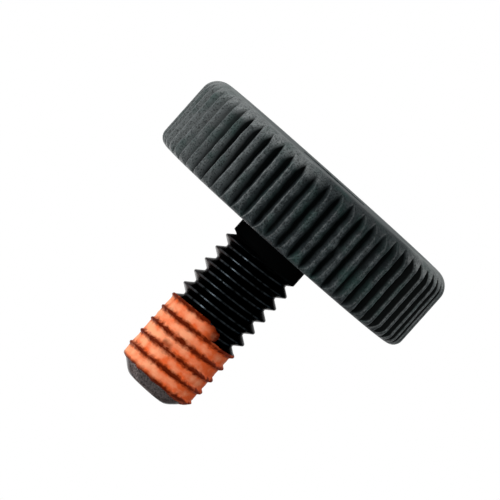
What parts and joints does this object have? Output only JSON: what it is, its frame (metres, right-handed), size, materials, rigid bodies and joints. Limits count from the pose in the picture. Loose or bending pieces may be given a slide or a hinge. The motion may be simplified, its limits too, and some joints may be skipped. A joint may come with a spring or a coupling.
{
  "type": "knurled thumb screw",
  "caption": "Black steel thumb screw with a wide straight-knurled head, a hex socket in its top, a right-hand thread and an orange nylon locking patch near the tip.",
  "frame": {"origin": "centre of the head's flat top, which the screw stands on", "axes": "+Z along the screw's axis from the head to the tip; -Y is the side the picture shows"},
  "size_m": [0.028, 0.028, 0.0249],
  "materials": {
    "black_oxide_steel": "satin black oxide over knurled and threaded steel",
    "nylon_patch": "matt orange nylon fused into the thread"
  },
  "bodies": {
    "root": {"screw": "black_oxide_steel", "locking_patch": "nylon_patch"}
  },
  "joints": []
}
